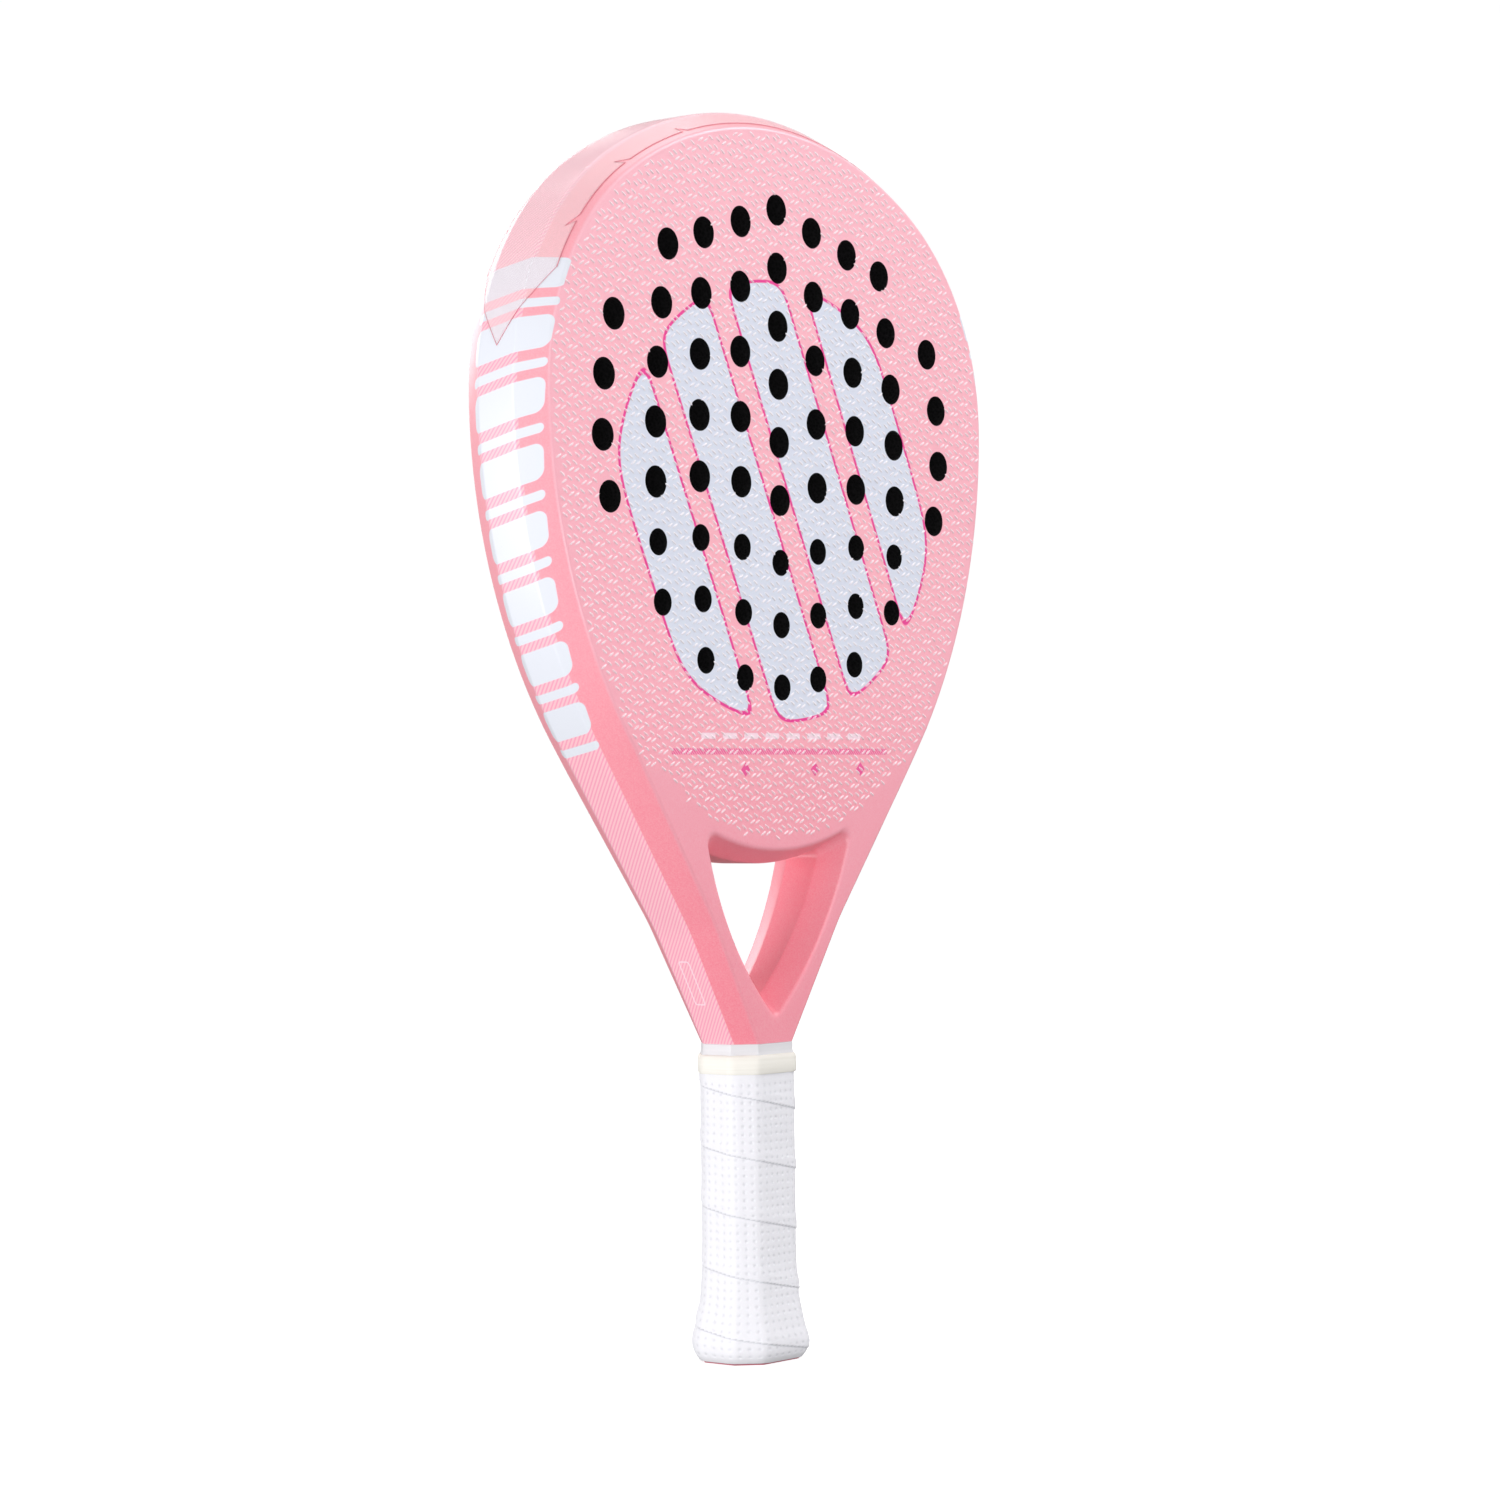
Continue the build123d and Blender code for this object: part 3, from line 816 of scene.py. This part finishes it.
def wrap_place(tree, scale=1000.0):
    """The piece's own map as two wires: along the rim and across it, in millimetres."""
    source = tree.nodes.new("ShaderNodeUVMap")
    source.uv_map = "wrap"
    split = tree.nodes.new("ShaderNodeSeparateXYZ")
    tree.links.new(source.outputs["UV"], split.inputs["Vector"])
    return [Wire(tree, split.outputs[axis]) * scale for axis in "XY"]


def noise(tree, scale, detail=2.0, stretch=(1, 1, 1)):
    """Soft random variation over the object, as a wire about 0.5. scale is per metre."""
    source = tree.nodes.new("ShaderNodeTexCoord")
    mapping = tree.nodes.new("ShaderNodeMapping")
    mapping.inputs["Scale"].default_value = stretch
    node = tree.nodes.new("ShaderNodeTexNoise")
    node.inputs["Scale"].default_value = scale
    node.inputs["Detail"].default_value = detail
    tree.links.new(source.outputs["Object"], mapping.inputs["Vector"])
    tree.links.new(mapping.outputs["Vector"], node.inputs["Vector"])
    return Wire(tree, node.outputs["Fac"])


def bump(tree, shader, height, strength, distance):
    node = tree.nodes.new("ShaderNodeBump")
    node.inputs["Strength"].default_value = strength
    node.inputs["Distance"].default_value = distance
    tree.links.new(height.socket, node.inputs["Height"])
    tree.links.new(node.outputs["Normal"], shader.inputs["Normal"])


def colour(tree, shader, socket):
    tree.links.new(socket, shader.inputs["Base Color"])


def roughness(tree, shader, wire):
    tree.links.new(wire.socket, shader.inputs["Roughness"])


FACE_PINKS = (srgb(251, 185, 199), srgb(250, 170, 186), srgb(247, 150, 166))  # crown, middle, low
FRAME_PINKS = (srgb(250, 168, 180), srgb(249, 152, 167), srgb(246, 134, 151))
HOT_PINK = srgb(238, 62, 150)
PALE_PRINT = srgb(218, 222, 236)


def pink_base(tree, z, grain, pinks):
    """The lacquer's pink: pale at the crown and deeper down the arms, with a fine metallic fleck."""
    crown, middle, low = pinks
    upper = mix(tree, z.below(330.0, 130.0), crown, middle)
    lower = mix(tree, z.below(190.0, 60.0), upper, low)
    return mix(tree, (grain - 0.5) * 0.5 + 0.08, lower, srgb(255, 214, 220))


def face_paint(name, painted_highlight):
    """Satin pink lacquer on a face, with its printed emblem, bar and small marks. The second argument
    lightens it toward white in a noisy pattern, a painted highlight for the raised dashes.
    """
    material, tree, shader = new_material(name, Metallic=0.0, Coat_Weight=0.15, Coat_Roughness=0.35)
    x, _, z = object_place(tree)
    grain = noise(tree, 1800.0, 1.0)
    base = pink_base(tree, z, grain, FACE_PINKS)
    up = z - 313.0  # from the emblem's middle
    disc = (x * x * (1 / 90.0**2) + up * up * (1 / 80.0**2)).math("SQRT") * 84.0 - 84.0
    slanted = x * 0.906 + up * 0.423
    stripe = abs((slanted + 420.0).math("MODULO", 42.0) - 21.0) - 15.2
    emblem = disc.math("SMOOTH_MAX", stripe, 11.0)
    printed = mix(tree, emblem.below(0.0, 0.12), base, PALE_PRINT)
    outlined = mix(tree, (abs(emblem) - 0.6).below(0.0, 0.15), printed, HOT_PINK)
    fine = ((x * 0.7071 + z * 0.7071) + 900.0).math("MODULO", 0.9) - 0.45
    bar = rounded_box(x, z - 222.0, 62.0, 1.1, 0.4).below(0.0, 0.1) * abs(fine).below(0.3, 0.05)
    barred = mix(tree, bar * 0.75, outlined, HOT_PINK)
    near = (x + 900.0).math("MODULO", 12.0) - 6.0
    block = rounded_box(near, z - 227.6, 4.0, 1.1, 0.9).below(0.0, 0.12) * abs(x).below(47.0, 0.1)
    dashed = mix(tree, block * 0.7, barred, srgb(250, 236, 246))
    lozenges = None
    for place in (-21.0, 19.0, 46.0):
        shape = abs(x - place) + abs(z - 215.5) - 2.6
        lozenges = shape if lozenges is None else smallest(lozenges, shape)
    marked = mix(tree, lozenges.below(0.0, 0.12) * 0.85, dashed, HOT_PINK)
    # Painted highlight: the second argument mixes the paint toward near white, so the raised dashes look
    # lit.
    colour(tree, shader, mix(tree, grain * painted_highlight, marked, srgb(255, 246, 250)))
    roughness(tree, shader, grain * 0.16 + 0.30)
    bump(tree, shader, noise(tree, 900.0, 2.0), 0.06, 0.0002)
    return material


BAR_PITCH, BARS_START, BARS = 22.8, 142.0, 8
BAR_SHAPES = ((-3.4, 6.2), (8.2, 1.7))  # a wide bar and a thin one: place in the pitch and half width
BAR_REAR, BAR_FRONT, BAR_FRONT_FALL = 12.0, 23.0, 0.075


def frame_paint():
    """Satin pink lacquer on the frame, with white bars and a fine slanted hatch round the rim's band."""
    finish = {"Metallic": 0.0, "Coat_Weight": 0.15, "Coat_Roughness": 0.3}
    material, tree, shader = new_material("frame_satin_pink", **finish)
    _, y, z = object_place(tree)
    along, across = wrap_place(tree)
    grain = noise(tree, 1800.0, 1.0)
    sides, flats = pink_base(tree, z, grain, FRAME_PINKS), pink_base(tree, z, grain, FACE_PINKS)
    thinned = (-z + TAPER_TOP).math("MAXIMUM", 0.0) * ((HALF - COLLAR_HALF) / (TAPER_TOP - COLLAR_TOP))
    base = mix(tree, (abs(y) + thinned - HALF).below(-0.5, 0.3), flats, sides)
    far, forward = abs(along), -across
    on_band = abs(across).below(9.6, 0.15)
    hatch = abs((along + across * 1.1 + 900.0).math("MODULO", 2.0) - 1.0).below(0.42, 0.14)
    shown = far.below(470.0, 4.0) * 0.5
    banded = mix(tree, on_band * 0.85, base, srgb(255, 204, 211))
    hatched = mix(tree, hatch * on_band * shown, banded, srgb(244, 112, 172))
    past = far - BARS_START
    run = past + forward * 0.22
    reach = past.math("MAXIMUM", 0.0) * -BAR_FRONT_FALL + BAR_FRONT
    middle, half = (reach - BAR_REAR) * 0.5, (reach + BAR_REAR) * 0.5
    bars = None
    for offset, half_width in BAR_SHAPES:
        cell = (run + BAR_PITCH).math("MODULO", BAR_PITCH) - BAR_PITCH / 2 - offset
        bar = rounded_box(cell, forward - middle, half_width, half, min(3.6, half_width))
        bars = bar if bars is None else smallest(bars, bar)
    within = run.math("COMPARE", BAR_PITCH * BARS / 2, BAR_PITCH * BARS / 2)
    white = mix(tree, bars.below(0.0, 0.12) * within, hatched, srgb(229, 232, 241))
    label = rounded_box(far - 424.0, across, 9.5, 3.0, 1.4)
    labelled = mix(tree, (abs(label + 0.3) - 0.3).below(0.0, 0.12) * 0.8, white, srgb(255, 226, 236))
    colour(tree, shader, labelled)
    roughness(tree, shader, grain * 0.14 + 0.24)
    bump(tree, shader, noise(tree, 700.0, 2.0), 0.05, 0.0002)
    return material


def foam(name, dark, light, cells):
    """Foam with open cells."""
    material, tree, shader = new_material(name, Specular_IOR_Level=0.25)
    source = tree.nodes.new("ShaderNodeTexCoord")
    cell = tree.nodes.new("ShaderNodeTexVoronoi")
    cell.inputs["Scale"].default_value = cells
    tree.links.new(source.outputs["Object"], cell.inputs["Vector"])
    pore = Wire(tree, cell.outputs["Distance"])
    colour(tree, shader, mix(tree, pore, dark, light))
    roughness(tree, shader, noise(tree, 400.0) * 0.15 + 0.8)
    bump(tree, shader, pore, 0.5, 0.0004)
    return material


def tape(name):
    """The white overgrip: matt, with painted shade in the pits and a painted shadow along the laps' edges.
    """
    finish = {"Specular_IOR_Level": 0.3, "Sheen_Weight": 0.15, "Sheen_Roughness": 0.5}
    material, tree, shader = new_material(name, **finish)
    edge, pit = wrap_place(tree, 1.0)
    cloud = noise(tree, 60.0, 3.0)
    white = mix(tree, cloud * 0.5, srgb(235, 234, 239), srgb(227, 227, 234))
    # Painted shade darkens the pits, and a painted shadow darkens the lap line just under each lap's edge.
    pit_painted_shade = mix(tree, pit * 0.4, white, srgb(190, 188, 198))
    lap_painted_shadow = mix(tree, edge * 0.7, pit_painted_shade, srgb(172, 172, 182))
    colour(tree, shader, lap_painted_shadow)
    roughness(tree, shader, noise(tree, 900.0) * 0.2 + 0.55)
    bump(tree, shader, noise(tree, 2600.0, 3.0), 0.12, 0.0002)
    return material


def streaked(name, light, dark, rough, fine=220.0):
    """Moulded rubber or plastic with faint level streaks."""
    material, tree, shader = new_material(name, Specular_IOR_Level=0.4)
    streak = noise(tree, fine, 3.0, (0.15, 0.15, 6.0))
    colour(tree, shader, mix(tree, streak, light, dark))
    roughness(tree, shader, streak * 0.2 + rough)
    bump(tree, shader, streak, 0.12, 0.0003)
    return material


def woven(name, light, dark, pitch):
    """Laminate with a plain weave of fibre."""
    material, tree, shader = new_material(name, Coat_Weight=0.4, Coat_Roughness=0.2)
    x, y, z = object_place(tree)
    over = ((x + y) * (math.pi / pitch)).math("SINE") * (z * (math.pi / pitch)).math("SINE")
    colour(tree, shader, mix(tree, over * 0.5 + 0.5, light, dark))
    roughness(tree, shader, over * 0.08 + 0.4)
    bump(tree, shader, over, 0.2, 0.0002)
    return material


def clear_film(name, cover, light, dark):
    """Thin clear tape with a faint haze. cover is how much of what lies under it is hidden."""
    material, tree, shader = new_material(name, Alpha=cover, Roughness=0.25, Specular_IOR_Level=0.1)
    haze = noise(tree, 40.0, 2.0)
    colour(tree, shader, mix(tree, haze, light, dark))
    bump(tree, shader, noise(tree, 120.0), 0.05, 0.0002)
    return material


def brushed_steel():
    material, tree, shader = new_material("staple_steel", Metallic=1.0)
    brushing = noise(tree, 300.0, 2.0, (1, 1, 8))
    colour(tree, shader, mix(tree, brushing, srgb(190, 190, 194), srgb(150, 150, 156)))
    roughness(tree, shader, brushing * 0.2 + 0.25)
    return material


def paper_floor():
    material, tree, shader = new_material("studio_paper", Specular_IOR_Level=0.1, Emission_Strength=0.8)
    shader.inputs["Emission Color"].default_value = (1.0, 1.0, 1.0, 1.0)
    fibre = noise(tree, 30.0, 4.0)
    colour(tree, shader, mix(tree, fibre, srgb(190, 190, 190), srgb(184, 184, 185)))
    roughness(tree, shader, fibre * 0.1 + 0.85)
    return material


# ---------------------------------------------------------------- the object


def place(piece, slot, *nodes):
    """Hides the CAD nodes that the piece stands for, and makes it move with the whole racket. slot, meant
    for its finish, is not used.
    """
    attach(piece, "root")
    if nodes:
        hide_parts(*nodes)


def refinish(node, material):
    """Gives a kept CAD node its material."""
    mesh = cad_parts[node].data
    mesh.materials.clear()
    mesh.materials.append(material)


# The dashes get a lightened copy of the face paint: a painted highlight on the raised dashes.
satin_face, dash_paint_painted_highlight = face_paint("face_satin_pink", 0.0), face_paint("dash_pink_painted_highlight", 1.15)
satin_frame = frame_paint()
black_foam = foam("black_eva_foam", srgb(4, 4, 5), srgb(34, 32, 34), 900.0)
white_foam = foam("white_rigid_foam", srgb(226, 224, 218), srgb(242, 240, 236), 700.0)
cream = streaked("cream_rubber", srgb(244, 241, 235), srgb(230, 226, 217), 0.5)
band_white = streaked("white_plastic_band", srgb(224, 222, 225), srgb(216, 215, 219), 0.35)
dusty_pink = streaked("dusty_pink_cap", srgb(206, 112, 128), srgb(190, 98, 116), 0.45)
pale_foam_tape = streaked("pale_base_tape", srgb(226, 222, 220), srgb(208, 204, 202), 0.7, 500.0)
carbon = woven("handle_laminate", srgb(46, 47, 50), srgb(22, 23, 25), 2.0)
bladder = streaked("bladder_film", srgb(214, 214, 208), srgb(192, 192, 186), 0.4)
overgrip_white = tape("white_overgrip")

place(frame_shell(satin_frame), "frame_paint", "frame_tube", "throat_bridge", "throat_insert")
place(face_plate("front_plate", -1, satin_face, black_foam), "face_skin", "front_face")
place(face_plate("back_plate", 1, satin_face, black_foam), "face_skin", "back_face")
place(raised_dashes("front_dashes", -1, dash_paint_painted_highlight), "face_skin")
place(raised_dashes("back_dashes", 1, dash_paint_painted_highlight), "face_skin")
place(grip_wrap(overgrip_white), "overgrip_white", "overgrip")
TAPE_HEIGHTS = (1.6, 3.0, 5.0, 7.5, 10.0, 14.0, 18.0, 24.0, 30.0, 36.0, 70.0, 104.8)
TAPE_LEVELS = [(z, float(grip_width(z)) - 3.4, 6.5) for z in TAPE_HEIGHTS]
place(turned("base_tape", TAPE_LEVELS, 96, pale_foam_tape), "base_grip_foam", "base_grip")
COLLAR_LEVELS = (
    (105.0, 36.0, 4.6),
    (105.4, 36.5, 4.8),
    (108.0, 36.6, 4.8),
    (110.4, 36.6, 4.8),
    (111.2, 36.3, 4.8),
    (111.75, 35.6, 4.6),
    (112.0, 34.6, 4.4),
)
place(turned("collar_ring", COLLAR_LEVELS, 96, cream), "collar_cream", "grip_collar")
BAND_LEVELS = (
    (111.6, 34.6, 1.6),
    (112.2, 34.5, 1.5),
    (112.8, 34.1, 1.3),
    (113.6, 33.9, 1.2),
    (115.6, 33.9, 1.2),
    (116.0, 33.5, 1.2),
)
place(turned("neck_band", BAND_LEVELS, 96, band_white, sharp=25), "band_white", "shaft_band")
film = clear_film("clear_guard_film", 0.26, srgb(255, 246, 248), srgb(255, 238, 242))
# A darker, more opaque pink for the film's border: painted shade along its cut edge.
film_edge_shade = clear_film("film_edge_painted_shade", 0.75, srgb(226, 142, 156), srgb(216, 130, 144))
place(rim_film(film, film_edge_shade), "clear_film", "frame_protector")

refinish("eva_core", black_foam)
refinish("frame_bladder", bladder)
refinish("bridge_core", white_foam)
refinish("handle_filler", white_foam)
refinish("handle_sleeve", carbon)
refinish("butt_cap", dusty_pink)
refinish("butt_staples", brushed_steel())


# ---------------------------------------------------------------- camera, floor and light


SURROUND, SURROUND_BELOW, SEEN_SURROUND = 0.5, 0.2, 1.02


def studio():
    """A pale flat paper floor, soft panels and a white surround that lights less from below."""
    floor = Body()
    run = [(-6000.0, -0.02), (6000.0, -0.02)]
    first = floor.add([(x, y, z) for y, z in run for x in (-6000.0, 6000.0)])
    floor.faces.append((first, first + 1, first + 3, first + 2))
    floor.marks.append(0)
    paper = floor.finish("studio_floor", [paper_floor()])
    paper.visible_diffuse = paper.visible_glossy = paper.visible_shadow = False
    world = bpy.data.worlds.new("studio")
    world.use_nodes = True
    surround = next(n for n in world.node_tree.nodes if n.type == "BACKGROUND")
    surround.inputs["Color"].default_value = (1.0, 1.0, 1.0, 1.0)
    tree = world.node_tree
    seen = Wire(tree, tree.nodes.new("ShaderNodeLightPath").outputs["Is Camera Ray"])
    split = tree.nodes.new("ShaderNodeSeparateXYZ")
    tree.links.new(tree.nodes.new("ShaderNodeTexCoord").outputs["Generated"], split.inputs["Vector"])
    above = Wire(tree, split.outputs["Z"]).below(0.0, 0.25) * (SURROUND_BELOW - SURROUND) + SURROUND
    strength = seen * (above * -1.0 + SEEN_SURROUND) + above
    tree.links.new(strength.socket, surround.inputs["Strength"])
    bpy.context.scene.world = world
    for name, spot, size, power in (
        ("left_panel", (-1.4, 0.5, -0.05), (0.9, 0.9), 18.5),
        ("upper_panel", (0.75, -0.6, 1.1), (0.6, 0.6), 5.5),
        ("front_panel", (-0.35, -1.5, 0.8), (0.7, 0.7), 5.5),
        ("low_panel", (-0.5, -1.5, -0.1), (0.6, 0.6), 9.0),
        ("top_panel", (0.2, 0.3, 1.4), (0.8, 0.8), 5.0),
        ("back_panel", (0.7, 1.4, 0.9), (0.8, 0.8), 6.0),
    ):
        light = bpy.data.lights.new(name, "AREA")
        light.shape = "RECTANGLE"
        light.size, light.size_y = size
        light.energy = power
        lamp = bpy.data.objects.new(name, light)
        aim = Vector((0, 0, 0.25)) - Vector(spot)
        lamp.matrix_world = Matrix.Translation(spot) @ aim.to_track_quat("-Z", "Y").to_matrix().to_4x4()
        bpy.context.scene.collection.objects.link(lamp)


def camera():
    """The camera, level with the handle's top, looking along the faces at a slant."""
    azimuth, elevation, roll = math.radians(-50.45), math.radians(-0.69), math.radians(-0.72)
    level = math.cos(elevation)
    back = Vector((math.sin(azimuth) * level, -math.cos(azimuth) * level, math.sin(elevation)))
    right = Vector((math.cos(azimuth), math.sin(azimuth), 0))
    up = back.cross(right)
    level_right = right * math.cos(roll) + up * math.sin(roll)
    level_up = up * math.cos(roll) - right * math.sin(roll)
    data = bpy.data.cameras.new("camera")
    data.lens, data.sensor_width = 93.1, 36.0
    data.clip_end = 100.0
    made = bpy.data.objects.new("camera", data)
    turn = Matrix((level_right, level_up, back)).transposed().to_4x4()
    made.matrix_world = Matrix.Translation(Vector((4.1, 0, 222.9)) * MM + back * 1.427) @ turn
    bpy.context.scene.collection.objects.link(made)
    bpy.context.scene.camera = made


studio()
camera()
bpy.context.scene.view_settings.view_transform = "Standard"
